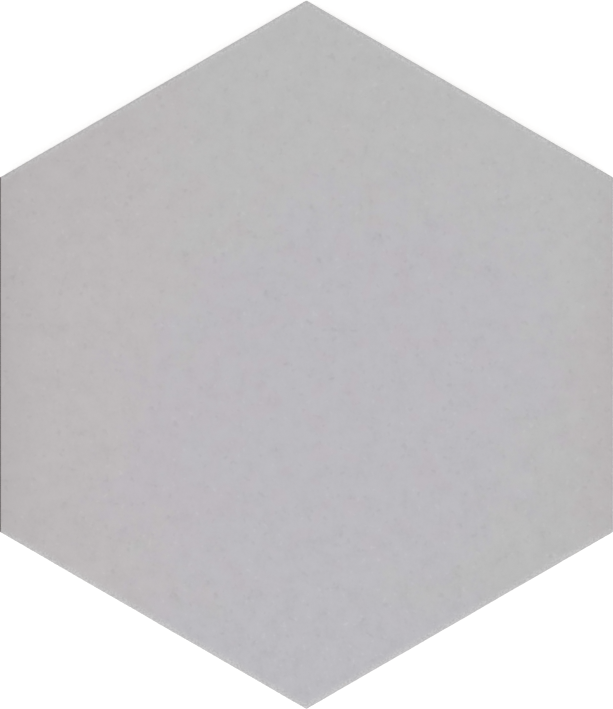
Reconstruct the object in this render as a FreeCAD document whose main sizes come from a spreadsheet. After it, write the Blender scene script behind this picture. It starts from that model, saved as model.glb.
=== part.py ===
# Hexagon floor tile: one pressed and fired piece, modelled as it lies on a floor.
# The back is on Z = 0 and the wearing face is up. The corners at the top and
# bottom of the picture point along +Y and -Y, and two of the sides face +X and -X.
# Lengths are in millimetres and angles in degrees.

import FreeCAD, Part
import Sketcher
import math
import os
from FreeCAD import Placement, Rotation, Vector

SIDES = 6
NODE = "hexagon_tile"

# Heights closer than this are level, and a steep edge rises this share of its length.
LEVEL = 1e-6
STEEP = 0.9

# What a sketch constraint calls the points of a line, a circle's centre and the origin.
START = 1
END = 2
CENTRE = 3
ORIGIN = (-1, 1)
Y_AXIS = -2

# Each row is a name, its value and what it measures.
SIZES = [
    ("across_flats", 175.0, "wearing face, from one side to the opposite side"),
    ("thickness", 9.0, "from the back to the wearing face"),
    ("side_draft", 1.5, "lean of the sides, so that the back is the smaller"),
    ("corner_radius", 0.5, "round of the six upright corners"),
    ("arris_radius", 1.0, "round of the edge between face and side"),
    ("back_chamfer", 0.6, "bevel of the edge between back and side"),
    ("key_border", 7.0, "from the outline in to the ribbed field of the back"),
    ("key_depth", 0.7, "depth of the channels between the ribs"),
    ("rib_width", 2.5, "width of one rib"),
    ("rib_pitch", 14.0, "from the middle of one rib to the next"),
]

doc = FreeCAD.newDocument("hexagon_floor_tile")
sheet = doc.addObject("Spreadsheet::Sheet", "sizes")
for row, (alias, value, note) in enumerate(SIZES, start=1):
    sheet.set(f"A{row}", alias)
    sheet.set(f"B{row}", str(value))
    sheet.set(f"C{row}", note)
    sheet.setAlias(f"B{row}", alias)
doc.recompute()


def origin_plane(body, role):
    """The body's own origin plane with this role."""
    return next(item for item in body.Origin.OriginFeatures if item.Role == role)


def face_names(feature, test):
    """The names of the feature's faces that pass the test."""
    faces = enumerate(feature.Shape.Faces, start=1)
    return [f"Face{number}" for number, face in faces if test(face)]


def edge_names(feature, test):
    """The names of the feature's edges that pass the test."""
    edges = enumerate(feature.Shape.Edges, start=1)
    return [f"Edge{number}" for number, edge in edges if test(edge)]


def lies_at(height):
    """A test for faces and edges that lie flat at this height."""
    return lambda item: all(abs(vertex.Z - height) < LEVEL for vertex in item.Vertexes)


def is_side(face):
    """True for a face that reaches from the back to the wearing face."""
    return face.BoundBox.ZLength > LEVEL


def stands_up(edge):
    """True for an edge that climbs steeply, as the six corners do."""
    heights = [vertex.Z for vertex in edge.Vertexes]
    return max(heights) - min(heights) > STEEP * edge.Length


def draw_hexagon(sketch):
    """Six equal sides with their corners on a circle, the first corner on the Y axis."""
    radius = sheet.across_flats / 2 / math.cos(math.pi / SIDES)
    turns = [math.pi / 2 + 2 * math.pi * k / SIDES for k in range(SIDES)]
    corners = [Vector(radius * math.cos(turn), radius * math.sin(turn), 0) for turn in turns]
    sides = []
    for k in range(SIDES):
        side = Part.LineSegment(corners[k], corners[(k + 1) % SIDES])
        sides.append(sketch.addGeometry(side, False))
    circle = sketch.addGeometry(Part.Circle(Vector(), Vector(0, 0, 1), radius), True)
    sketch.addConstraint(Sketcher.Constraint("Coincident", circle, CENTRE, *ORIGIN))
    for k in range(SIDES):
        after = sides[(k + 1) % SIDES]
        sketch.addConstraint(Sketcher.Constraint("Coincident", sides[k], END, after, START))
        sketch.addConstraint(Sketcher.Constraint("PointOnObject", sides[k], START, circle))
    for side in sides[1:]:
        sketch.addConstraint(Sketcher.Constraint("Equal", sides[0], side))
    sketch.addConstraint(Sketcher.Constraint("PointOnObject", sides[0], START, Y_AXIS))
    diameter = sketch.addConstraint(Sketcher.Constraint("Diameter", circle, 2 * radius))
    sketch.renameConstraint(diameter, "across_corners")
    sketch.setExpression("Constraints.across_corners", f"sizes.across_flats / cos(180 deg / {SIDES})")


def make_blank():
    """The tile with its plain back.

    The outline is the wearing face's. It is raised straight up from the back plane, and
    the sides then lean in below the face, so the back comes out the smaller.
    """
    body = doc.addObject("PartDesign::Body", "blank")

    outline = body.newObject("Sketcher::SketchObject", "face_outline")
    outline.AttachmentSupport = [(origin_plane(body, "XY_Plane"), "")]
    outline.MapMode = "FlatFace"
    draw_hexagon(outline)

    press = body.newObject("PartDesign::Pad", "pressed_body")
    press.Profile = outline
    press.setExpression("Length", "sizes.thickness")
    doc.recompute()

    draft = body.newObject("PartDesign::Draft", "side_lean")
    draft.Base = (press, face_names(press, is_side))
    draft.NeutralPlane = (press, face_names(press, lies_at(sheet.thickness)))
    draft.Reversed = True
    draft.setExpression("Angle", "sizes.side_draft")
    doc.recompute()

    bevel = body.newObject("PartDesign::Chamfer", "back_bevel")
    bevel.Base = (draft, edge_names(draft, lies_at(0)))
    bevel.setExpression("Size", "sizes.back_chamfer")
    doc.recompute()

    corners = body.newObject("PartDesign::Fillet", "corner_rounds")
    corners.Base = (bevel, edge_names(bevel, stands_up))
    corners.setExpression("Radius", "sizes.corner_radius")
    doc.recompute()

    arris = body.newObject("PartDesign::Fillet", "face_arris")
    arris.Base = (corners, edge_names(corners, lies_at(sheet.thickness)))
    arris.setExpression("Radius", "sizes.arris_radius")
    body.Tip = arris
    doc.recompute()
    return body


def make_key_field():
    """The ribbed field's hexagon, as far below the back plane as above it.

    A prism's first corner is on +X, so a quarter turn brings it to +Y, as the tile's is.
    """
    field = doc.addObject("Part::Prism", "key_field")
    field.Polygon = SIDES
    field.Placement = Placement(Vector(), Rotation(Vector(0, 0, 1), 90))
    inner_apothem = "(sizes.across_flats / 2 - sizes.key_border)"
    field.setExpression("Circumradius", f"{inner_apothem} / cos(180 deg / {SIDES})")
    field.setExpression("Height", "2 * sizes.key_depth")
    field.setExpression("Placement.Base.z", "-sizes.key_depth")
    return field


def make_rib(name, steps):
    """A rib along Y, this many steps of the pitch to the +X side of the middle.

    It is longer and taller than the key field at both ends, so the cut leaves it whole.
    """
    rib = doc.addObject("Part::Box", name)
    rib.setExpression("Length", "sizes.rib_width")
    rib.setExpression("Width", "2 * sizes.across_flats")
    rib.setExpression("Height", "4 * sizes.key_depth")
    rib.setExpression("Placement.Base.x", f"{steps} * sizes.rib_pitch - sizes.rib_width / 2")
    rib.setExpression("Placement.Base.y", "-sizes.across_flats")
    rib.setExpression("Placement.Base.z", "-2 * sizes.key_depth")
    return rib


def make_channels():
    """The ribbed field's channels: the key field less the ribs that cross it."""
    half_field = sheet.across_flats / 2 - sheet.key_border
    each_side = int(half_field / sheet.rib_pitch)
    places = range(-each_side, each_side + 1)
    ribs = doc.addObject("Part::MultiFuse", "ribs")
    ribs.Shapes = [make_rib(f"rib_{n}", steps) for n, steps in enumerate(places, start=1)]
    channels = doc.addObject("Part::Cut", "key_channels")
    channels.Base = make_key_field()
    channels.Tool = ribs
    return channels


def make_tile():
    """The finished tile: the blank with the channels pressed into its back."""
    tile = doc.addObject("Part::Cut", NODE)
    tile.Label = NODE
    tile.Base = make_blank()
    tile.Tool = make_channels()
    tile.Placement = Placement(Vector(), Rotation())
    doc.recompute()
    return tile


def check_document():
    """Stop if any object of the document failed to build."""
    for item in doc.Objects:
        if {"Invalid", "Error"} & set(item.State):
            raise RuntimeError(f"{item.Label} did not build: {item.State}")


def check_solid(item):
    """Stop unless the object holds one valid solid."""
    shape = item.Shape
    if shape.isNull() or not shape.isValid() or len(shape.Solids) != 1:
        raise RuntimeError(f"{item.Label} is not one valid solid")


tile = make_tile()
check_document()
check_solid(tile)
os.makedirs("parts", exist_ok=True)
tile.Shape.exportStep(f"parts/{tile.Label}.step")

box = tile.Shape.optimalBoundingBox(False)
print(f"{tile.Label}: {box.XLength:.2f} x {box.YLength:.2f} x {box.ZLength:.2f} mm")
print(f"volume {tile.Shape.Volume / 1000:.2f} cm3, {len(tile.Shape.Faces)} faces")
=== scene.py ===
import math
import bpy
import numpy as np
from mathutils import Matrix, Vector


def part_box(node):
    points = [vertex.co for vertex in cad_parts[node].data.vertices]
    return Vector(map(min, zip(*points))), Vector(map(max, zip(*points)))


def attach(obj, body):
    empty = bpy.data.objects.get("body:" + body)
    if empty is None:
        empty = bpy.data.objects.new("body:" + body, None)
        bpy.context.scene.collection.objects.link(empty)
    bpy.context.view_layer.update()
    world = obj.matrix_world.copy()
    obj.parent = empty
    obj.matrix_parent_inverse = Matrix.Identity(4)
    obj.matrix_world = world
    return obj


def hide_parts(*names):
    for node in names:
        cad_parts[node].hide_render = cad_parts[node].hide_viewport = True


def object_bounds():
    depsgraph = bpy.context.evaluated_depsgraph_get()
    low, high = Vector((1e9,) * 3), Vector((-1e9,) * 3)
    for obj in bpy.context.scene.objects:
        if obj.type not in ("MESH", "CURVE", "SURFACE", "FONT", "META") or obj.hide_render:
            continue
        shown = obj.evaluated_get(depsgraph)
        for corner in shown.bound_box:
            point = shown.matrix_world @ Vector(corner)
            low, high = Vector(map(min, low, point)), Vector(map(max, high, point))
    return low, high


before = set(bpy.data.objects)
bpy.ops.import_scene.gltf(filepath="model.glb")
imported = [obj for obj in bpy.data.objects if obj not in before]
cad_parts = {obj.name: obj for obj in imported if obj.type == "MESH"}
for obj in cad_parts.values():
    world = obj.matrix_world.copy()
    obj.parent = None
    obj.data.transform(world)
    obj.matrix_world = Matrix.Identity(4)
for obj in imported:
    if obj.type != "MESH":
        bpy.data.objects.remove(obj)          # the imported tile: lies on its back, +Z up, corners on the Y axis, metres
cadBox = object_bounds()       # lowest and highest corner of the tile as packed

mm = 0.001
sides = 6
tan30 = math.tan(math.radians(30))
cos30 = math.cos(math.radians(30))


# Small number helpers

# s(x) = u^2 (3 - 2 u) with u = (x - low) / (high - low) held between 0 and 1
def smoothStep(low, high, x):
    u = np.clip((x - low) / (high - low), 0, 1)
    return u * u * (3 - 2 * u)


# f(p) = mean over i of cos(2 pi (d_i . p) / length_i + phase_i), with d_i unit directions
def planeWaves(x, y, lengths, seed):
    rng = np.random.default_rng(seed)
    turns = rng.uniform(0, 2 * math.pi, len(lengths))
    phases = rng.uniform(0, 2 * math.pi, len(lengths))
    total = np.zeros_like(x)
    for length, turn, phase in zip(lengths, turns, phases):
        along = x * math.cos(turn) + y * math.sin(turn)
        total += np.cos(2 * math.pi * along / length + phase)
    return total / len(lengths)


# f(a) = sum over i of cos(m_i a + phase_i) / sqrt(n), with whole numbers m_i so that it closes
def ringWaves(angle, lowest, highest, count, seed):
    rng = np.random.default_rng(seed)
    orders = rng.integers(lowest, highest, count)
    phases = rng.uniform(0, 2 * math.pi, count)
    total = np.zeros_like(angle)
    for order, phase in zip(orders, phases):
        total += np.cos(order * angle + phase)
    return total / math.sqrt(count)


# The tile's mesh

tile = {
    "node": "hexagon_tile",
    "slot": "matt_porcelain",
    "seed": 7,
    # Face and sides
    "sideLean": math.radians(1.5),   # the back is the smaller
    "arris": 1.0 * mm,               # round between face and side
    "cornerRound": 0.5 * mm,         # round of the upright corners
    "faceCorner": 0.12 * mm,         # what is left of that round where the face starts
    "crown": 0.10 * mm,              # the face is this much higher in the middle
    "ripple": 0.025 * mm,            # slow unevenness of the face
    "rippleLengths": [61 * mm, 47 * mm, 38 * mm, 29 * mm, 23 * mm, 19 * mm],
    # Back
    "backBevel": 0.6 * mm,
    "softEdge": 0.12 * mm,           # wear on the bevel's two edges
    "keyBorder": 7.0 * mm,           # from the outline to the ribbed field
    "keyDepth": 0.7 * mm,
    "keyWall": 0.5 * mm,             # run of the sloping walls of the channels
    "ribWidth": 2.5 * mm,
    "ribPitch": 14.0 * mm,
    # Unevenness of the rim. A set of waves is given by the fewest crests of a wave round the rim, by
    # a number that its crests stay under, and by how many waves there are.
    "broadWaves": (3, 40, 14),
    "fineWaves": (60, 420, 30),
    "hollowWaves": (8, 60, 12),
    "arrisSpread": 0.09,             # how unevenly wide the arris is, as a share
    "arrisMix": (0.6, 0.4),          # broad and fine waves in it
    "edgeWander": 0.035 * mm,        # how far the sides stray inwards
    "wanderMix": (0.7, 0.5),         # broad and fine waves in it
    "sideWave": 0.03 * mm,           # shallow hollows pressed into the sides
    # Chips
    "nicks": 36,
    "nickSize": (0.15 * mm, 0.42 * mm),
    "nickDepth": 0.32,               # depth as a share of the size
    "nickCurve": 0.7,                # under 1 for a flatter floor and steeper walls
    "nickStretch": 1.7,              # longer along the edge
    "nickRings": (6, 12),            # from which ring of the rim to before which, all on the arris
    "nickFresh": 0.35,               # the body is all bare where h is over this, see addNicks
    # The mesh's points. Rings of the side are given by height, and those over an edge of the bevel
    # by how far up from it they lie, in lengths of softEdge.
    "faceInset": 4.0 * mm,           # from the outline to the face's grid
    "faceCells": 48,                 # half the columns of that grid
    "sideSteps": 360,                # points along each of the six sides
    "cornerSteps": 4,                # of them, in each half corner
    "straight": 0.9,                 # where a corner's round starts, from 0 at a side's middle to 1
    "faceRings": (1.2 * mm, 0.6 * mm, 0.25 * mm, 0.08 * mm),    # in from the arris
    "arrisRings": 11,
    "sideRings": [height * mm for height in (7.55, 7.0, 6.3, 5.4, 4.4, 3.4, 2.4, 1.5, 0.9)],
    "upperRings": (0.5, 0.15, -0.15, -0.5),                     # over the bevel's upper edge
    "lowerRings": (0.5, 0.15, -0.15, -0.5, -3),                 # over its lower edge, then the back
    "wallColumns": (-0.9, -0.5, -0.3, -0.1, 0.1, 0.3, 0.5, 0.9),    # in wall runs from its middle
    "channelColumns": 3,             # between two walls
    "wallRows": (0, 0.2, 0.4, 0.6, 0.8, 1.0, 1.5),              # in wall runs from the field's edge
    "fieldRows": 12,                 # between them
    "columnGap": 0.2,                # least room to the columns along the field's edge, in wall runs
}


# A point of a hexagon of apothem a with corners rounded to radius r. Side k faces 60 k degrees, n is
# its outward normal and e its direction. t runs from -1 to 1 along the side, on its straight part up
# to |t| = straight and on a corner's arc past it.
#   w = 30 deg (|t| - straight) / (1 - straight), held at 0 or more
#   p = ((a - r) + r cos w) n + (clip(t / straight) (a - r) tan 30 + sign(t) r sin w) e
def roundedHexagon(side, t, apothem, radius):
    straight = tile["straight"]
    facing = np.radians(60.0) * side
    turn = np.radians(30.0) * np.clip((np.abs(t) - straight) / (1 - straight), 0, 1)
    inner = apothem - radius
    outward = inner + radius * np.cos(turn)
    along = np.clip(t / straight, -1, 1) * inner * tan30 + np.sign(t) * radius * np.sin(turn)
    x = outward * np.cos(facing) - along * np.sin(facing)
    y = outward * np.sin(facing) + along * np.cos(facing)
    return x, y


# Half height of the hexagon at x, for a hexagon of this apothem: (2 a - |x|) / sqrt 3
def halfHeight(x, apothem):
    return (2 * apothem - np.abs(x)) * tan30


# Angle of a ring's points from the corner at -30 degrees on, from 0 to a full turn
def ringAngle(x, y):
    nudge = 1e-9      # keeps the corner itself at 0
    return np.mod(np.arctan2(y, x) + math.radians(30) + nudge, 2 * math.pi)


# Triangles between two closed rings of any two counts, facing up when the first is the inner one.
# An edge's apex is the other ring's point whose own two edges have their middles to either side of
# the edge's middle.
def zipRings(points, inner, outer):
    def middles(ring):
        angle = ringAngle(points[ring, 0], points[ring, 1])
        return (angle + np.append(angle[1:], angle[0] + 2 * math.pi)) / 2
    innerMiddle = middles(inner)
    outerMiddle = middles(outer)
    outerApex = outer[np.searchsorted(outerMiddle, innerMiddle, "left") % len(outer)]
    innerApex = inner[np.searchsorted(innerMiddle, outerMiddle, "right") % len(inner)]
    fromInner = np.stack([inner, outerApex, np.roll(inner, -1)], 1)
    fromOuter = np.stack([outer, np.roll(outer, -1), innerApex], 1)
    return np.concatenate([fromInner, fromOuter])


# Quads of a grid of point numbers, rows by columns. They face up when x grows with the column
# and y with the row.
def gridQuads(numbers):
    corners = [numbers[:-1, :-1], numbers[:-1, 1:], numbers[1:, 1:], numbers[1:, :-1]]
    return np.stack(corners, -1).reshape(-1, 4)


# The outer points of such a grid, counter-clockwise from its lower right corner
def gridRim(numbers):
    return np.concatenate([
        numbers[:-1, -1], numbers[-1, :0:-1], numbers[:0:-1, 0], numbers[0, :-1],
    ])


# A hexagon as a grid: columns at the given x, and rows that keep the given distances from the two
# slanted edges and share what is left evenly.
#   y = +-(halfHeight(x) - distance / cos 30), then even steps between the innermost two
def hexagonGrid(columns, apothem, edgeRows, evenRows):
    x = np.broadcast_to(columns, (2 * len(edgeRows) + evenRows, len(columns)))
    edge = halfHeight(columns, apothem) - np.array(edgeRows)[:, None] / cos30
    share = np.linspace(-1, 1, evenRows + 2)[1:-1, None]
    y = np.concatenate([-edge, share * edge[-1], edge[::-1]])
    return x, y


# Depth of the face below its highest point: a crown and slow ripples, never above the top plane.
#   dip = crown |p|^2 / R^2 + ripple (1 - f(p)) / 2
def faceDip(x, y, reach):
    waves = planeWaves(x, y, tile["rippleLengths"], tile["seed"])
    return tile["crown"] * (x * x + y * y) / reach ** 2 + tile["ripple"] * (1 - waves) / 2


# The face inside the rim, as a grid: z = top - dip
def buildFace(outline, top):
    reach = outline - tile["faceInset"]
    columns = np.linspace(-reach, reach, 2 * tile["faceCells"] + 1)
    x, y = hexagonGrid(columns, reach, [0], 2 * tile["faceCells"] - 1)
    return x, y, top - faceDip(x, y, outline / cos30)


# Columns of the back: close together where a wall of the channels falls, wide apart elsewhere.
#   x = n pitch +- (rib / 2 + share wall), with even steps between the walls of two ribs
#   x = +- (apothem - distance) along the two upright edges of the field
def backColumns(apothem, edgeRows):
    half, wall, pitch = tile["ribWidth"] / 2, tile["keyWall"], tile["ribPitch"]
    steps = np.append(0, half + np.array(tile["wallColumns"]) * wall)
    between = np.linspace(steps[-1], pitch - steps[-1], tile["channelColumns"] + 2)[1:-1]
    oneRib = np.concatenate([-steps[:0:-1], steps, between])
    reach = int(apothem / pitch) + 1
    ribs = np.arange(-reach, reach + 1) * pitch
    columns = (ribs[:, None] + oneRib).ravel()
    fromEdge = apothem - edgeRows
    columns = columns[np.abs(columns) < fromEdge[-1] - tile["columnGap"] * wall]
    return np.concatenate([-fromEdge, columns, fromEdge[::-1]])


# The ribbed back inside its border, as a grid: 0 on the border and the ribs, depth in the channels.
#   z = depth s(distance from the field's edge) s(|x - nearest rib| - half a rib),
# where each s rises over the run of one wall
def buildBack(outline):
    wall, pitch = tile["keyWall"], tile["ribPitch"]
    reach = outline - tile["keyBorder"] + wall / 2
    edgeRows = np.array(tile["wallRows"]) * wall
    x, y = hexagonGrid(backColumns(reach, edgeRows), reach, edgeRows, tile["fieldRows"])
    fromSide = reach - np.abs(x)
    fromSlant = (halfHeight(x, reach) - np.abs(y)) * cos30
    field = smoothStep(0, wall, np.minimum(fromSide, fromSlant))
    offRib = np.abs(x - pitch * np.round(x / pitch)) - tile["ribWidth"] / 2
    return x, y, tile["keyDepth"] * field * smoothStep(-wall / 2, wall / 2, offRib)


# One ring profile, from the face over the arris, down the side and over the bevel to the back.
# Each row is an inset from the outline, a height and the round of the corners there. The arris is an
# arc of radius r from straight up to the side's lean g, and the bevel is at 45 degrees:
#   inset = r (tan g + 1 / cos g - cos w),  z = top - r (1 - sin w) on the arris
#   inset = (top - z) tan g on the side
def rimProfile(top, radius):
    lean = tile["sideLean"]
    middle = radius * (math.tan(lean) + 1 / math.cos(lean))
    ones = np.ones_like(radius)
    rows = [(middle + flat, top * ones) for flat in tile["faceRings"]]
    for w in np.linspace(math.pi / 2, -lean, tile["arrisRings"]):
        rows.append((middle - radius * math.cos(w), top - radius * (1 - math.sin(w))))
    for height in tile["sideRings"]:
        rows.append(((top - height) * math.tan(lean) * ones, height * ones))
    bevel, soft = tile["backBevel"], tile["softEdge"]
    foot = (top - bevel) * math.tan(lean)
    for share in tile["upperRings"]:
        drop = max(-share, 0) * soft
        rows.append(((foot + drop) * ones, (bevel + share * soft) * ones))
    for share in tile["lowerRings"]:
        rise = max(share, 0) * soft
        rows.append(((foot + bevel - share * soft) * ones, rise * ones))
    inset = np.stack([row[0] for row in rows])
    height = np.stack([row[1] for row in rows])
    towardsFace = np.clip(inset / middle, 0, 1)
    corner = tile["cornerRound"] + (tile["faceCorner"] - tile["cornerRound"]) * towardsFace
    return inset, height, corner


# How far each ring moves out where the tile's skin is laid flat round the face: its distance from
# the middle along the surface over its distance in plan
def laidFlat(reach, height):
    steps = np.hypot(np.diff(reach), np.diff(height))
    return (reach[0] + np.append(0, np.cumsum(steps))) / reach


# The rim of the tile as rings by points, with its nicks. Broad, fine and hollow waves go round it:
#   arris = r (1 + spread mix . (broad, fine))
#   inset + wander (1 + tanh(mix . (broad, fine) run backwards)) + wave |hollow| sin(pi drop)
#   z - dip (1 - drop), with drop 0 at the face and 1 at the back
# Returns x, y, z, the nicks' mask and how far each ring moves out on the texture map.
def buildRim(outline, top):
    straight, cornerSteps = tile["straight"], tile["cornerSteps"]
    ends = np.linspace(straight, 1, cornerSteps + 1)
    run = np.linspace(-straight, straight, tile["sideSteps"] - 2 * cornerSteps + 1)
    t = np.concatenate([-ends[:0:-1], run[:-1], ends[:-1]])
    side, t = [part.ravel() for part in np.meshgrid(np.arange(sides), t, indexing="ij")]
    angle = ringAngle(*roundedHexagon(side, t, outline, tile["cornerRound"]))
    broad = ringWaves(angle, *tile["broadWaves"], tile["seed"] + 1)
    fine = ringWaves(angle, *tile["fineWaves"], tile["seed"] + 2)
    hollow = ringWaves(angle, *tile["hollowWaves"], tile["seed"] + 3)
    spread = tile["arrisMix"][0] * broad + tile["arrisMix"][1] * fine
    radius = tile["arris"] * (1 + tile["arrisSpread"] * spread)
    stray = tile["wanderMix"][0] * broad[::-1] + tile["wanderMix"][1] * fine[::-1]
    inset, z, corner = rimProfile(top, radius)
    stretch = laidFlat(outline - inset.mean(1), z.mean(1))
    drop = (top - z) / top
    pressed = np.abs(hollow * np.sin(math.pi * np.clip(drop, 0, 1)))
    inset = inset + tile["edgeWander"] * (1 + np.tanh(stray)) + tile["sideWave"] * pressed
    x, y = roundedHexagon(side, t, outline - inset, corner)
    z = z - faceDip(x, y, outline / cos30) * (1 - drop)
    return (*addNicks(x, y, z), stretch)


# Chips out of the arris. Each has a centre c, a size q and an inward direction n. With the way along
# the edge shortened by the stretch, g = |p - c| / q and h = 1 - g^2 where g < 1, a point moves by
# n q depth h^curve, and its mask is s(h) from 0 to fresh.
def addNicks(x, y, z):
    rng = np.random.default_rng(tile["seed"] + 4)
    points = np.stack([x, y, z], -1)
    count = tile["nicks"]
    columns = rng.integers(0, x.shape[1], count)
    rows = rng.integers(*tile["nickRings"], count)
    sizes = rng.uniform(*tile["nickSize"], count)
    mask = np.zeros_like(x)
    moved = points.copy()
    for row, column, size in zip(rows, columns, sizes):
        centre = points[row, column]
        outward = np.array([centre[0], centre[1], 0]) / math.hypot(centre[0], centre[1])
        edge = np.array([-outward[1], outward[0], 0])
        offset = points - centre
        along = offset @ edge
        across = offset - along[..., None] * edge
        far = np.sqrt((along / tile["nickStretch"]) ** 2 + (across ** 2).sum(-1)) / size
        share = np.clip(1 - far ** 2, 0, 1)
        inward = -(outward + [0, 0, 1]) / math.sqrt(2)
        moved += (share ** tile["nickCurve"] * size * tile["nickDepth"])[..., None] * inward
        mask = np.maximum(mask, smoothStep(0, tile["nickFresh"], share))
    return moved[..., 0], moved[..., 1], moved[..., 2], mask


# The mesh's texture map, for baking the materials. The face with its arris and sides laid flat round
# it is a hexagon in the lower left corner, and the back a smaller one in the upper right.
textureMap = {
    "name": "OFBake",
    "skinHalf": 0.348,     # half width of the skin's hexagon, as a share of the map
    "backHalf": 0.1935,    # of the back's
    "border": 0.003,
}


# Points of a hexagon laid into the lower left (-1) or upper right (1) corner of the map:
#   (1/2, 1/2) + corner ((1/2, 1/2) - border - half (1, 1 / cos 30)) + half p / widest x
def ontoMap(flat, half, corner):
    middle = 0.5 + corner * (0.5 - textureMap["border"] - half * np.array([1, 1 / cos30]))
    return middle + half * flat / flat[:, 0].max()


# The whole tile as one closed skin: face grid, rim rings, back grid, zipped together. Its outline is
# where the slope of the sides would meet the plane of the top, a little outside the widest level:
#   outline = half width + r (tan g + 1 / cos g - 1)
def buildTile():
    onGlaze, onSide, onBack = 0, 1, 2      # the tile's finishes, in the order of its materials
    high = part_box(tile["node"])[1]
    lean = tile["sideLean"]
    outline = high.x + tile["arris"] * (math.tan(lean) + 1 / math.cos(lean) - 1)
    rimX, rimY, rimZ, rimNick, stretch = buildRim(outline, high.z)

    blocks = [buildFace(outline, high.z), (rimX, rimY, rimZ), buildBack(outline)]
    points = np.concatenate([np.stack([part.ravel() for part in block], 1) for block in blocks])
    shapes = [block[0].shape for block in blocks]
    numbers = np.split(np.arange(len(points)), np.cumsum([block[0].size for block in blocks])[:-1])
    face, rim, back = [part.reshape(shape) for part, shape in zip(numbers, shapes)]
    closedRim = np.concatenate([rim, rim[:, :1]], 1)
    quads = [gridQuads(face), gridQuads(closedRim)[:, ::-1], gridQuads(back)[:, ::-1]]
    topTriangles = zipRings(points, gridRim(face), rim[0])
    backTriangles = zipRings(points, gridRim(back), rim[-1])[:, ::-1]
    faces = np.concatenate(quads).tolist() + topTriangles.tolist() + backTriangles.tolist()

    arrisEnd = len(tile["faceRings"]) + tile["arrisRings"] - 1
    sideEnd = arrisEnd + len(tile["sideRings"]) + len(tile["upperRings"]) // 2
    ringOf = np.repeat(np.arange(rim.shape[0] - 1), rim.shape[1])
    rimFinish = np.where(ringOf < arrisEnd, onGlaze, np.where(ringOf < sideEnd, onSide, onBack))
    finish = np.concatenate([
        np.full(len(quads[0]), onGlaze), rimFinish, np.full(len(quads[2]), onBack),
        np.full(len(topTriangles), onGlaze), np.full(len(backTriangles), onBack),
    ])

    flat = points[:, :2].copy()
    flat[rim.ravel()] *= np.repeat(stretch, rim.shape[1])[:, None]
    above = ontoMap(flat, textureMap["skinHalf"], -1)
    below = ontoMap(points[:, :2] * (-1, 1), textureMap["backHalf"], 1)
    places = [
        above[quads[0]], above[quads[1]], below[quads[2]], above[topTriangles], below[backTriangles],
    ]
    laid = np.concatenate([block.reshape(-1) for block in places]).astype(np.float32)
    nick = np.zeros(len(points), np.float32)
    nick[rim.ravel()] = rimNick.ravel()

    mesh = bpy.data.meshes.new("hexagonTile")
    mesh.from_pydata(points, [], faces)
    mesh.uv_layers.new(name=textureMap["name"]).uv.foreach_set("vector", laid)
    mesh.polygons.foreach_set("use_smooth", np.ones(len(faces), bool))
    mesh.polygons.foreach_set("material_index", finish)
    mesh.attributes.new("nick", "FLOAT", "POINT").data.foreach_set("value", nick)
    mesh.update()
    mesh.validate()
    piece = bpy.data.objects.new("hexagonTile", mesh)
    bpy.context.scene.collection.objects.link(piece)
    return piece


tilePiece = buildTile()
print("tile mesh:", len(tilePiece.data.vertices), "points,", len(tilePiece.data.polygons), "faces")


# Shader helpers

# Gives a socket its value: another socket that feeds it, a colour or a plain number
def setInput(tree, socket, value):
    if isinstance(value, bpy.types.NodeSocket):
        tree.links.new(value, socket)
    elif socket.type == "RGBA":
        socket.default_value = (*value[:3], 1)
    else:
        socket.default_value = value


# A node with its inputs given by name or, in a dictionary, by number
def addNode(tree, kind, settings=None, numbered=None, **named):
    node = tree.nodes.new(kind)
    for name, value in (settings or {}).items():
        setattr(node, name, value)
    for number, value in (numbered or {}).items():
        setInput(tree, node.inputs[number], value)
    for name, value in named.items():
        setInput(tree, node.inputs[name.replace("_", " ")], value)
    return node


# The node tree of whichever value is a socket
def treeOf(*values):
    return next(value.id_data for value in values if isinstance(value, bpy.types.NodeSocket))


# One step of arithmetic on values that are sockets or plain numbers. A formula made of such steps
# adds the nodes that work it out.
def operate(operation, first, second=0.0):
    tree = treeOf(first, second)
    settings = {"operation": operation}
    return addNode(tree, "ShaderNodeMath", settings, {0: first, 1: second}).outputs[0]


def plus(first, second):
    return operate("ADD", first, second)


def minus(first, second):
    return operate("SUBTRACT", first, second)


def times(first, second):
    return operate("MULTIPLY", first, second)


def divide(first, second):
    return operate("DIVIDE", first, second)


def power(first, second):
    return operate("POWER", first, second)


def larger(first, second):
    return operate("MAXIMUM", first, second)


def inverse(share):
    return minus(1.0, share)


# From 0 at low to 1 at high and held there, eased at both ends unless it is straight
def ramp(value, low, high, shape="SMOOTHSTEP"):
    return addNode(value.id_data, "ShaderNodeMapRange", {"interpolation_type": shape}, Value=value,
                   From_Min=low, From_Max=high).outputs["Result"]


# Between two plain numbers by a share
def between(share, first, second):
    return plus(times(share, second - first), first)


# One colour turned into another by a share. Inputs 6 and 7 and output 2 are the node's colours.
def mixColour(share, first, second, mode="MIX"):
    settings = {"data_type": "RGBA", "blend_type": mode}
    node = addNode(treeOf(share, first), "ShaderNodeMix", settings, {0: share, 6: first, 7: second})
    return node.outputs[2]


# A colour multiplied by a tint as far as the share goes
def tintColour(share, colour, tint):
    return mixColour(share, colour, tint, "MULTIPLY")


def multiplyColours(first, second):
    return tintColour(1.0, first, second)


# A colour made lighter or darker by a factor
def shadeColour(colour, factor):
    grey = addNode(factor.id_data, "ShaderNodeCombineColor", Red=factor, Green=factor, Blue=factor)
    return multiplyColours(colour, grey.outputs[0])


# The red, green and blue of a colour
def channels(colour):
    return addNode(colour.id_data, "ShaderNodeSeparateColor", Color=colour).outputs


def noiseNode(place, scale, detail, roughness):
    return addNode(place.id_data, "ShaderNodeTexNoise", Vector=place, Scale=scale, Detail=detail,
                   Roughness=roughness)


def noise(place, scale, detail, roughness):
    return noiseNode(place, scale, detail, roughness).outputs["Fac"]


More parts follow.
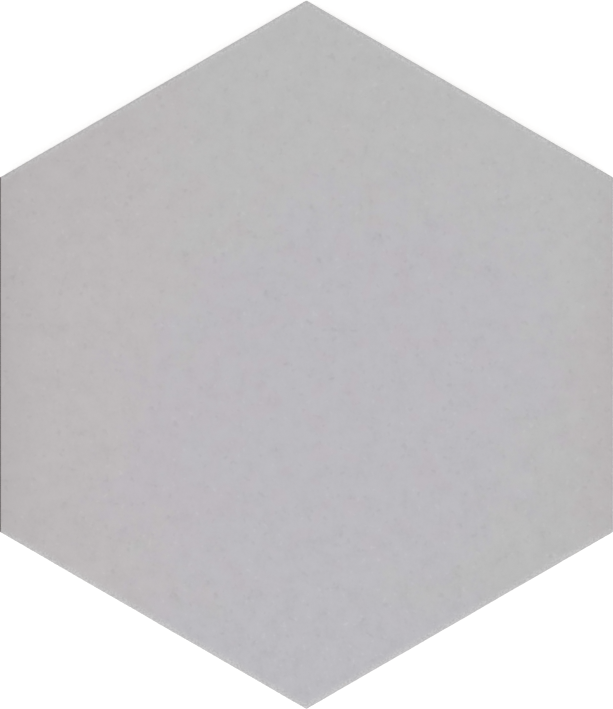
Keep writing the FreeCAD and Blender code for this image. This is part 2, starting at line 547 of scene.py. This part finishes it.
# Three unlike noises from one node
def threeNoises(place, scale, detail, roughness):
    return channels(noiseNode(place, scale, detail, roughness).outputs["Color"])


def axes(place):
    parts = addNode(place.id_data, "ShaderNodeSeparateXYZ", Vector=place).outputs
    return parts["X"], parts["Y"], parts["Z"]


# An empty node group with named inputs and outputs. F is a number, C a colour and V a vector.
def startGroup(name, inputs, outputs):
    kinds = {"F": "NodeSocketFloat", "C": "NodeSocketColor", "V": "NodeSocketVector"}
    group = bpy.data.node_groups.new(name, "ShaderNodeTree")
    for side, sockets in (("INPUT", inputs), ("OUTPUT", outputs)):
        for label, kind in sockets.items():
            group.interface.new_socket(name=label, in_out=side, socket_type=kinds[kind])
    given = group.nodes.new("NodeGroupInput").outputs
    return given, group.nodes.new("NodeGroupOutput").inputs


def endGroup(made, **results):
    for name, value in results.items():
        setInput(value.id_data, made[name.replace("_", " ")], value)
    return treeOf(*results.values())


def useGroup(tree, group, **inputs):
    return addNode(tree, "ShaderNodeGroup", {"node_tree": group}, **inputs).outputs


# Shared shader groups

# How far a point lies in from the tile's outline, over its two upright and four slanted sides.
#   upright = a - |x|,  slanted = a - (|x| / 2 + |y| cos 30)
def makeOutlineGroup():
    given, made = startGroup("fromOutline", {"Coordinates": "V", "Half Width": "F"},
                             {"Upright": "F", "Slanted": "F"})
    sideways, lengthways = [operate("ABSOLUTE", part) for part in axes(given["Coordinates"])[:2]]
    onSlant = plus(times(sideways, 0.5), times(lengthways, cos30))
    return endGroup(made, Upright=minus(given["Half Width"], sideways),
                    Slanted=minus(given["Half Width"], onSlant))


# Where the kiln's tints and the painted shade lie, in half widths of the tile. The painted shade stays
# off the ovals lit and foot, so the middle and the lower tip stay lighter, as if lit. An oval leans by
# lean x for each y, its border is soft to both sides, and its noise wears it ragged. Here and below, a
# noise is given by its scale, detail and roughness.
tintsAndPaintedShade = {
    "cool": {"centre": (0.09, -0.20), "reach": (0.66, 0.72), "lean": 0.20, "soft": 0.08, "ragged": 2.0},
    "tip": {"centre": (-0.03, -1.15), "reach": (0.80, 0.44), "lean": 0.0, "soft": 0.20, "ragged": 1.2},
    "warm": {"centre": (-1.60, -0.10), "reach": (1.27, 2.40), "lean": 0.0, "soft": 0.07, "ragged": 1.4},
    "east": {"centre": (1.30, -0.16), "reach": (0.44, 0.83), "lean": 0.0, "soft": 0.12, "ragged": 1.8},
    "blush": {"centre": (0.12, 0.00), "reach": (0.60, 0.70), "lean": 0.0, "soft": 0.50, "ragged": 0.8},
    "lit": {"centre": (0.07, 0.14), "reach": (0.84, 1.22), "lean": 0.19, "soft": 0.12, "ragged": 1.3},
    "foot": {"centre": (0.03, -1.10), "reach": (0.50, 0.45), "lean": 0.0, "soft": 0.20, "ragged": 1.2},
    "driftNoise": (80.0, 5.0, 0.8),
    "blushNoise": (130.0, 1.0, 0.5),
    "blushLevels": (0.580, 0.592),
    "sideRamp": (0.86, 1.00),
    "sideCurve": 1.3,
    "coolTint": (0.994, 0.980, 1.043),
    "warmTint": (1.025, 0.976, 0.988),
    # painted shade: grey darkening outside the lit ovals, and towards the left and right sides
    "paintedEdgeShade": (0.974, 0.974, 0.974),
    "paintedLeftShade": (0.930, 0.930, 0.930),
    "paintedRightShade": (0.970, 0.970, 0.970),
}


# Slow changes of tone that the kiln leaves: a cool tint in the middle and at the tip, a warm one to
# the left and right and in small patches of the middle. Over them lies painted shade: grey darkening
# outside the lit ovals and along the two upright sides, as light that falls off towards the edges.
# The painted shade alone is put out too, because it falls on the rim as well.
#   oval = 1 - s(|(x - cx - lean (y - cy), y - cy) / reach| + ragged (noise - 1/2)) about 1
#   side = ((|x| - low) / (high - low))^curve
def makeTintsAndShadeGroup():
    given, made = startGroup("kilnTintsAndPaintedShade", {
        "Coordinates": "V", "Half Width": "F", "Colour": "C", "Warm Tint": "C", "Cool Tint": "C",
        "Edge Tint": "C", "Left Tint": "C", "Right Tint": "C",
    }, {"Color": "C", "Shade": "C"})
    place = given["Coordinates"]
    x, y = [divide(part, given["Half Width"]) for part in axes(place)[:2]]
    drift = threeNoises(place, *tintsAndPaintedShade["driftNoise"])
    patches = ramp(noise(place, *tintsAndPaintedShade["blushNoise"]), *tintsAndPaintedShade["blushLevels"])

    def oval(name, worn):
        spot = tintsAndPaintedShade[name]
        awayY = minus(y, spot["centre"][1])
        awayX = minus(minus(x, spot["centre"][0]), times(awayY, spot["lean"]))
        offX = times(awayX, 1 / spot["reach"][0])
        offY = times(awayY, 1 / spot["reach"][1])
        far = operate("SQRT", plus(times(offX, offX), times(offY, offY)))
        ragged = plus(far, times(minus(worn, 0.5), spot["ragged"]))
        return inverse(ramp(ragged, 1 - spot["soft"], 1 + spot["soft"]))

    def alongSide(towards):
        return power(ramp(towards, *tintsAndPaintedShade["sideRamp"], "LINEAR"), tintsAndPaintedShade["sideCurve"])

    cool = larger(oval("cool", drift[0]), oval("tip", drift[2]))
    warm = larger(oval("warm", drift[1]), oval("east", drift[0]))
    warm = larger(warm, times(patches, oval("blush", drift[2])))
    # painted shade: everywhere outside the lit middle and foot ovals
    edge = inverse(larger(oval("lit", drift[2]), oval("foot", drift[1])))
    colour = tintColour(cool, given["Colour"], given["Cool Tint"])
    colour = tintColour(warm, colour, given["Warm Tint"])
    shade = tintColour(edge, (1, 1, 1), given["Edge Tint"])
    shade = tintColour(alongSide(times(x, -1.0)), shade, given["Left Tint"])
    shade = tintColour(alongSide(x), shade, given["Right Tint"])
    return endGroup(made, Color=multiplyColours(colour, shade), Shade=shade)


coat = {
    "colour": (0.506, 0.505, 0.506),
    "lowerFrom": 0.30,                   # half lengths from the middle down to where the tip starts
    "mottleNoise": (200.0, 3.4, 0.9),
    "mottleCurve": 3.0,                  # draws out the dark side of the mottle
    "mottleDepth": (0.036, 0.048),       # here and below, from the middle to the lower tip
    "spots": {"Cells": 450.0, "Share": 0.66, "Size": 0.46, "Sharpness": 3.6, "Bend": 1.8},
    "spotTint": (0.925, 0.922, 0.924),
    "flecks": {"Cells": 600.0, "Size": 0.44, "Sharpness": 3.1, "Bend": 1.8},
    "fleckShare": (0.36, 0.85),
    "fleckStrength": (0.60, 0.90),
    "fleckTint": (1.120, 1.120, 1.120),
    "bendDetail": 3.0,                   # of the noise that bends the outline of a speck
    "roughness": (0.50, 0.68),
    "relief": 0.05 * mm,
    # the rim band: paler and gritty, wider on the four slanted sides than on the two upright ones
    "slantedRim": (0.9 * mm, 2.4 * mm),  # where the thin glaze ends, in from the outline
    "uprightRim": (0.25 * mm, 0.50 * mm),
    "rimNoise": (260.0, 4.0, 0.7),
    "rimWander": 1.6 * mm,
    "uprightShare": 0.3,                 # of that wander, on the upright sides
    "rimShare": 0.70,
    "rimDark": (0.455, 0.452, 0.455),
    "rimPale": (0.650, 0.646, 0.650),
    "gritNoise": (2000.0, 3.0, 0.6),
    "gritLevels": (0.34, 0.66),
    "gritRelief": 0.25,
}


# Cloudy mottle with its dark side drawn out, from fine to broad in nearly equal steps.
#   shade = 1 - depth ((2 (1 - noise))^curve - 1)
def makeMottleGroup():
    given, made = startGroup("cloudyMottle", {"Coordinates": "V", "Scale": "F", "Depth": "F"},
                             {"Shade": "F", "Height": "F"})
    cloud = noise(given["Coordinates"], given["Scale"], *coat["mottleNoise"][1:])
    drawn = power(times(inverse(cloud), 2.0), coat["mottleCurve"])
    return endGroup(made, Shade=inverse(times(minus(drawn, 1.0), given["Depth"])), Height=cloud)


# Scattered specks, bent by a noise: each cell has its own two numbers, and one whose first is under
# the share holds a spot. Its mask is (size * second - distance) * sharpness, held between 0 and 1.
def makeSpecksGroup():
    given, made = startGroup("specks", {
        "Coordinates": "V", "Cells": "F", "Share": "F", "Size": "F", "Sharpness": "F", "Bend": "F",
    }, {"Mask": "F"})
    place, cells = given["Coordinates"], given["Cells"]
    tree = place.id_data
    bent = addNode(tree, "ShaderNodeTexNoise", Vector=place, Scale=cells, Detail=coat["bendDetail"])
    bend = addNode(tree, "ShaderNodeVectorMath", {"operation": "SCALE"}, {0: bent.outputs["Color"]},
                   Scale=divide(given["Bend"], cells))
    moved = addNode(tree, "ShaderNodeVectorMath", {"operation": "ADD"}, {0: place, 1: bend.outputs[0]})
    grid = addNode(tree, "ShaderNodeTexVoronoi", Vector=moved.outputs[0], Scale=cells)
    numbers = channels(grid.outputs["Color"])
    chosen = operate("LESS_THAN", numbers[0], given["Share"])
    inside = minus(times(numbers[1], given["Size"]), grid.outputs["Distance"])
    held = operate("MINIMUM", larger(times(inside, given["Sharpness"]), 0.0), 1.0)
    return endGroup(made, Mask=times(chosen, held))


# The whole coat of matt glaze: kiln tints with painted shade over them, mottle, dark and pale specks,
# and a paler gritty band along the rim
def makeCoatGroup():
    given, made = startGroup("mattCoat", {
        "Coordinates": "V", "Colour": "C", "Spot Tint": "C", "Fleck Tint": "C", "Rim Dark": "C",
        "Rim Pale": "C",
    }, {"Color": "C", "Roughness": "F", "Height": "F"})
    place = given["Coordinates"]
    tree = place.id_data
    low, high = cadBox
    tintAndShade = useGroup(tree, tintsAndShadeGroup, Coordinates=place, Half_Width=high.x, Colour=given["Colour"],
                    Warm_Tint=tintsAndPaintedShade["warmTint"], Cool_Tint=tintsAndPaintedShade["coolTint"],
                    Edge_Tint=tintsAndPaintedShade["paintedEdgeShade"], Left_Tint=tintsAndPaintedShade["paintedLeftShade"],
                    Right_Tint=tintsAndPaintedShade["paintedRightShade"])
    downwards = times(axes(place)[1], -1.0)
    lower = ramp(downwards, -low.y * coat["lowerFrom"], -low.y, "LINEAR")
    mottle = useGroup(tree, mottleGroup, Coordinates=place, Scale=coat["mottleNoise"][0],
                      Depth=between(lower, *coat["mottleDepth"]))
    spots = useGroup(tree, specksGroup, Coordinates=place, **coat["spots"])["Mask"]
    flecks = useGroup(tree, specksGroup, Coordinates=place,
                      Share=between(lower, *coat["fleckShare"]), **coat["flecks"])["Mask"]
    flecks = times(flecks, between(lower, *coat["fleckStrength"]))
    colour = shadeColour(tintAndShade["Color"], mottle["Shade"])
    colour = tintColour(spots, colour, given["Spot Tint"])
    colour = tintColour(flecks, colour, given["Fleck Tint"])

    reach = useGroup(tree, outlineGroup, Coordinates=place, Half_Width=high.x)
    grit = ramp(noise(place, *coat["gritNoise"]), *coat["gritLevels"])
    wander = times(minus(noise(place, *coat["rimNoise"]), 0.5), coat["rimWander"])
    uprightWander = times(wander, coat["uprightShare"])
    slanted = inverse(ramp(plus(reach["Slanted"], wander), *coat["slantedRim"]))
    upright = inverse(ramp(plus(reach["Upright"], uprightWander), *coat["uprightRim"]))
    thin = larger(slanted, upright)
    # the painted shade falls on the rim too
    rim = multiplyColours(mixColour(grit, given["Rim Dark"], given["Rim Pale"]), tintAndShade["Shade"])
    colour = mixColour(times(thin, coat["rimShare"]), colour, rim)
    height = plus(mottle["Height"], times(times(thin, grit), coat["gritRelief"]))
    dull = between(mottle["Height"], *coat["roughness"])
    return endGroup(made, Color=colour, Roughness=dull, Height=height)


# painted shade: a dark band down the -X side, standing in for that side in shadow
paintedSideShade = {
    "colour": (0.062, 0.044, 0.049),
    "across": (0.42 * mm, 0.53 * mm),      # from full to none, in from the side
    "down": (1.2 * mm, 6.0 * mm),          # from full to none, down from the face
    "noise": (220.0, 5.0, 0.7),
    "ragged": 4.0 * mm,
    "strength": (0.95, 1.05),
    "crept": (1.1 * mm, 2.8 * mm),         # down from the face, from no creep round a corner to full
    "creep": 16.0,
    "creptEdge": 0.10 * mm,                # full up to here, in from the side, where it creeps
}


# Painted shade on the -X side, standing in for that side in shadow: darkest along its arris and
# fading unevenly down. The mask works on -X only, with in and down as distances from that side and
# from the face:
#   mask = (1 - s(in / (1 + creep deep noise))) (1 - s(down + ragged (noise - 1/2))) strength,
# with deep = s(down), so that below the arris the painted shade creeps round the two corners.
def makePaintedSideShadeGroup():
    given, made = startGroup("paintedSideShadeMask", {"Coordinates": "V", "Half Width": "F", "Top": "F"},
                             {"Mask": "F"})
    place = given["Coordinates"]
    x, z = axes(place)[::2]
    fromSide = plus(x, given["Half Width"])
    depth = minus(given["Top"], z)
    worn = noise(place, *paintedSideShade["noise"])
    deep = ramp(depth, *paintedSideShade["crept"])
    nearSide = divide(fromSide, plus(times(times(deep, worn), paintedSideShade["creep"]), 1.0))
    full = between(deep, paintedSideShade["across"][0], paintedSideShade["creptEdge"])
    outer = inverse(ramp(nearSide, full, paintedSideShade["across"][1]))
    ragged = plus(depth, times(minus(worn, 0.5), paintedSideShade["ragged"]))
    upper = inverse(ramp(ragged, *paintedSideShade["down"]))
    return endGroup(made, Mask=times(times(outer, upper), between(worn, *paintedSideShade["strength"])))


body = {
    "colour": (0.420, 0.395, 0.370),
    "dark": (0.330, 0.305, 0.285),
    "chip": (0.550, 0.535, 0.515),
    "ironTint": (0.62, 0.55, 0.50),
    "iron": {"Cells": 900.0, "Share": 0.10, "Size": 0.30, "Sharpness": 6.0, "Bend": 0.5},
    "grainNoise": (1500.0, 4.0, 0.75),
    "grainShare": 0.6,
    "patchNoise": (90.0, 4.0, 0.6),
    "patchShare": 0.4,
    "tones": (0.30, 0.70),
    "streakNoise": (1300.0, 4.0, 0.7),
    "streakStretch": (1, 1, 0.10),
    "streak": 0.35,
    "roughness": 0.90,
    "relief": 0.035 * mm,
    "lipHeight": 6.75 * mm,
    "lipNoise": (190.0, 4.0, 0.6),
    "lipWander": 1.8 * mm,
    "lipEdge": 0.12 * mm,
}


# The unglazed body: sandy grain in slow patches, streaks where it left the mould, and iron specks
def makeBodyGroup():
    given, made = startGroup("firedBody", {
        "Coordinates": "V", "Colour": "C", "Dark": "C", "Iron Tint": "C", "Grain": "F", "Streak": "F",
    }, {"Color": "C", "Height": "F"})
    place = given["Coordinates"]
    tree = place.id_data
    grain = noise(place, given["Grain"], *body["grainNoise"][1:])
    patches = noise(place, *body["patchNoise"])
    upright = addNode(tree, "ShaderNodeVectorMath", {"operation": "MULTIPLY"},
                      {0: place, 1: body["streakStretch"]}).outputs[0]
    dragged = times(minus(noise(upright, *body["streakNoise"]), 0.5), given["Streak"])
    shade = plus(times(grain, body["grainShare"]), times(patches, body["patchShare"]))
    tone = ramp(minus(shade, dragged), *body["tones"])
    iron = useGroup(tree, specksGroup, Coordinates=place, **body["iron"])["Mask"]
    colour = tintColour(iron, mixColour(tone, given["Dark"], given["Colour"]), given["Iron Tint"])
    return endGroup(made, Color=colour, Height=plus(grain, dragged))


# The tile's materials

def startMaterial(name):
    material = bpy.data.materials.new(name)
    material.use_nodes = True
    tree = material.node_tree
    place = addNode(tree, "ShaderNodeTexCoord").outputs["Object"]
    return material, tree, tree.nodes["Principled BSDF"], place


def useCoat(tree, place):
    return useGroup(tree, coatGroup, Coordinates=place, Colour=coat["colour"],
                    Spot_Tint=coat["spotTint"], Fleck_Tint=coat["fleckTint"],
                    Rim_Dark=coat["rimDark"], Rim_Pale=coat["rimPale"])


def useBody(tree, place, streak):
    return useGroup(tree, bodyGroup, Coordinates=place, Colour=body["colour"], Dark=body["dark"],
                    Iron_Tint=body["ironTint"], Grain=body["grainNoise"][0], Streak=streak)


# Colour, dullness and relief, with chips and the painted side shade over them
def finishShader(tree, shader, place, colour, roughness, height, relief):
    high = cadBox[1]
    nick = addNode(tree, "ShaderNodeAttribute", {"attribute_name": "nick"}).outputs["Fac"]
    sideShadeMask = useGroup(tree, sideShadeGroup, Coordinates=place, Half_Width=high.x, Top=high.z)["Mask"]
    # the painted shade of the -X side is mixed over the colour
    colour = mixColour(sideShadeMask, mixColour(nick, colour, body["chip"]), paintedSideShade["colour"])
    dull = larger(roughness, larger(times(nick, body["roughness"]), sideShadeMask))
    bump = addNode(tree, "ShaderNodeBump", Height=height, Strength=1.0, Distance=relief)
    setInput(tree, shader.inputs["Base Color"], colour)
    setInput(tree, shader.inputs["Roughness"], dull)
    setInput(tree, shader.inputs["Normal"], bump.outputs[0])


# Wearing face and arris, with pale fresh body in the nicks
def makeGlazeMaterial():
    material, tree, shader, place = startMaterial("mattGlaze")
    glaze = useCoat(tree, place)
    finishShader(tree, shader, place, glaze["Color"], glaze["Roughness"], glaze["Height"],
                 coat["relief"])
    return material


# Sides: the glaze comes over the arris and ends in an uneven lip, and below it the body is bare
def makeSideMaterial():
    material, tree, shader, place = startMaterial("pressedSide")
    glaze = useCoat(tree, place)
    clay = useBody(tree, place, body["streak"])
    wander = times(minus(noise(place, *body["lipNoise"]), 0.5), body["lipWander"])
    lip, soft = body["lipHeight"], body["lipEdge"]
    glazed = ramp(plus(axes(place)[2], wander), lip - soft, lip + soft)
    colour = mixColour(glazed, clay["Color"], glaze["Color"])
    roughness = larger(glaze["Roughness"], times(inverse(glazed), body["roughness"]))
    height = plus(glazed, times(clay["Height"], inverse(glazed)))
    finishShader(tree, shader, place, colour, roughness, height, body["relief"])
    return material


backing = {
    "wash": (0.580, 0.565, 0.545),
    "washTo": 0.35 * mm,          # it lies on what is lower than this
    "washNoise": (260.0, 6.0, 0.75),
    "washWorn": (0.40, 0.62),
    "washShare": 0.75,
    "washRelief": 0.5,
    "relief": 0.05 * mm,
    "roughness": 0.94,
}


# Back: bare body with a worn pale kiln wash on the border and the ribs
def makeBackMaterial():
    material, tree, shader, place = startMaterial("keyedBack")
    clay = useBody(tree, place, 0.0)
    raised = inverse(ramp(axes(place)[2], 0.0, backing["washTo"]))
    wash = times(raised, ramp(noise(place, *backing["washNoise"]), *backing["washWorn"]))
    colour = mixColour(times(wash, backing["washShare"]), clay["Color"], backing["wash"])
    height = plus(clay["Height"], times(wash, backing["washRelief"]))
    finishShader(tree, shader, place, colour, backing["roughness"], height, backing["relief"])
    return material


outlineGroup = makeOutlineGroup()
tintsAndShadeGroup = makeTintsAndShadeGroup()
mottleGroup = makeMottleGroup()
specksGroup = makeSpecksGroup()
coatGroup = makeCoatGroup()
sideShadeGroup = makePaintedSideShadeGroup()
bodyGroup = makeBodyGroup()
for material in (makeGlazeMaterial(), makeSideMaterial(), makeBackMaterial()):
    tilePiece.data.materials.append(material)
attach(tilePiece, "root")
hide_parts(tile["node"])
print("tile finishes:", [material.name for material in tilePiece.data.materials])


# Floor, lights and camera

studio = {
    "floorReach": 6.0,
    "floorGap": 0.02 * mm,            # keeps the floor clear of the tile's back
    "floorColour": (0.80, 0.80, 0.80),
    "floorGlow": 0.47,                # white that the floor shows the camera on top of its own shading
    "fill": 0.829,                    # even white light from all round
    "keyPower": 15.6,
    "keySize": 1.9,
    "keyDistance": 3.0,
    "keyFrom": math.radians(-90),     # towards the foot of the picture
    "keyHeight": math.radians(52),
}


# 1 for a ray that should see the white studio: from the camera, in a gloss or through glass
def seenRay(tree):
    path = addNode(tree, "ShaderNodeLightPath").outputs
    return larger(larger(path["Is Camera Ray"], path["Is Glossy Ray"]), path["Is Transmission Ray"])


def makeFloor():
    material = bpy.data.materials.new("paleFloor")
    material.use_nodes = True
    tree = material.node_tree
    tree.nodes.clear()
    diffuse = addNode(tree, "ShaderNodeBsdfDiffuse", Color=studio["floorColour"])
    glow = addNode(tree, "ShaderNodeEmission", Strength=times(seenRay(tree), studio["floorGlow"]))
    both = addNode(tree, "ShaderNodeAddShader", numbered={0: diffuse.outputs[0], 1: glow.outputs[0]})
    addNode(tree, "ShaderNodeOutputMaterial", Surface=both.outputs[0])
    reach, low = studio["floorReach"], -studio["floorGap"]
    corners = [(x * reach, y * reach, low) for x, y in ((-1, -1), (1, -1), (1, 1), (-1, 1))]
    mesh = bpy.data.meshes.new("floor")
    mesh.from_pydata(corners, [], [(0, 1, 2, 3)])
    mesh.materials.append(material)
    floor = bpy.data.objects.new("floor", mesh)
    bpy.context.scene.collection.objects.link(floor)


def makeLights():
    world = bpy.data.worlds.new("studio")
    bpy.context.scene.world = world
    world.use_nodes = True
    tree = world.node_tree
    background = tree.nodes["Background"]
    setInput(tree, background.inputs["Color"], (1, 1, 1))
    setInput(tree, background.inputs["Strength"], between(seenRay(tree), studio["fill"], 1.0))
    lamp = bpy.data.lights.new("key", "AREA")
    lamp.energy = studio["keyPower"]
    lamp.size = studio["keySize"]
    key = bpy.data.objects.new("key", lamp)
    turn, rise = studio["keyFrom"], studio["keyHeight"]
    level = math.cos(rise)
    direction = np.array([level * math.cos(turn), level * math.sin(turn), math.sin(rise)])
    key.location = direction * studio["keyDistance"]
    key.rotation_euler = (math.pi / 2 - rise, 0, turn + math.pi / 2)
    bpy.context.scene.collection.objects.link(key)


photo = {
    "tall": 709,               # pixels
    "sideFromMiddle": 307.0,   # pixels from the tile's middle to each slanted side
    "below": 0.2,              # pixels from the picture's middle down to the tile's
    "lens": 100.0,             # mm
    "film": 36.0,              # mm on the picture's long side
}


# Looks straight down. The tile's half width at its widest level is sideFromMiddle pixels, so the
# half picture is tall / 2 / sideFromMiddle half widths, and distance = that / (film / 2 / lens).
def makeCamera():
    high = cadBox[1]
    camera = bpy.data.cameras.new("camera")
    camera.lens, camera.sensor_width = photo["lens"], photo["film"]
    halfPicture = high.x * photo["tall"] / 2 / photo["sideFromMiddle"]
    distance = halfPicture / (photo["film"] / 2 / photo["lens"])
    offset = high.x * photo["below"] / photo["sideFromMiddle"]
    seat = bpy.data.objects.new("camera", camera)
    seat.location = (0, offset, high.z - tile["arris"] + distance)
    bpy.context.scene.collection.objects.link(seat)
    bpy.context.scene.camera = seat


makeFloor()
makeLights()
makeCamera()
bpy.context.scene.view_settings.view_transform = "Standard"
print("floor, lights and camera in place")
